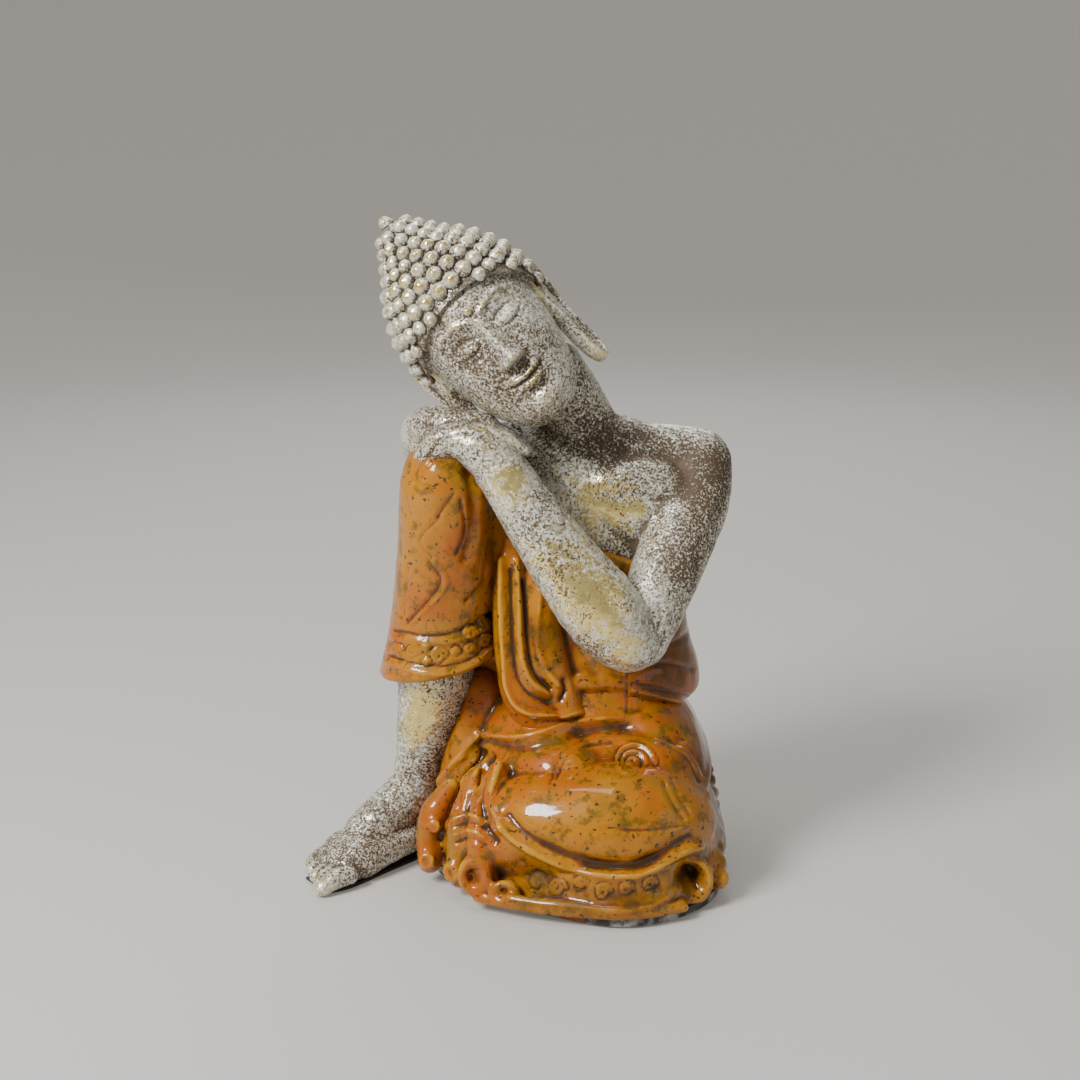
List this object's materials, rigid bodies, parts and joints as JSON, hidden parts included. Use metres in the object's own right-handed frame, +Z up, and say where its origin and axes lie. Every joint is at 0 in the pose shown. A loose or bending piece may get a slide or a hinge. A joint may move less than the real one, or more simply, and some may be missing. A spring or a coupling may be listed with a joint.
{
  "type": "resting buddha statue",
  "caption": "Seated devotional figure, its tilted head on hands folded over a raised knee, with curled hair, bare chest and a draped robe, of hollow cast sections on a base plate.",
  "frame": {"origin": "on the ground under the middle of the overall box", "axes": "+Z up, the figure faces -Y, its own left side is +X"},
  "size_m": [0.1624, 0.1201, 0.2505],
  "materials": {
    "skin_patina": "pale wash over rubbed brass",
    "hair_patina": "pale wash with brass peaks",
    "robe_lacquer": "glossy amber lacquer, antiqued",
    "felt": "felt",
    "plate": "dark",
    "screws": "plated",
    "dowel_brass": "plain"
  },
  "bodies": {
    "root": {"ankle_dowel": "dowel_brass", "base_felt": "felt", "base_plate": "plate", "base_screws": "screws", "foot_felt": "felt", "front_pleats": "robe_lacquer", "hair_cap": "hair_patina", "hair_curls": "hair_patina", "head_dowel": "dowel_brass", "head_shell": "skin_patina", "hem_band": "robe_lacquer", "hem_curl": "robe_lacquer", "hem_pleats": "robe_lacquer", "left_ear": "skin_patina", "left_forearm": "skin_patina", "left_hand": "skin_patina", "left_leg_drape": "robe_lacquer", "left_upper_arm": "skin_patina", "leg_cuff": "robe_lacquer", "neck": "skin_patina", "neck_dowel": "dowel_brass", "right_ear": "skin_patina", "right_foot": "skin_patina", "right_forearm": "skin_patina", "right_hand": "skin_patina", "right_leg_drape": "robe_lacquer", "right_shin": "skin_patina", "right_upper_arm": "skin_patina", "robe_knot": "robe_lacquer", "robe_wrap": "robe_lacquer", "seat_shell": "robe_lacquer", "shoulder_dowels": "dowel_brass", "torso_shell": "skin_patina", "urna": "skin_patina", "ushnisha_tip": "hair_patina", "waist_sash": "robe_lacquer", "wrist_dowels": "dowel_brass"}
  },
  "joints": []
}
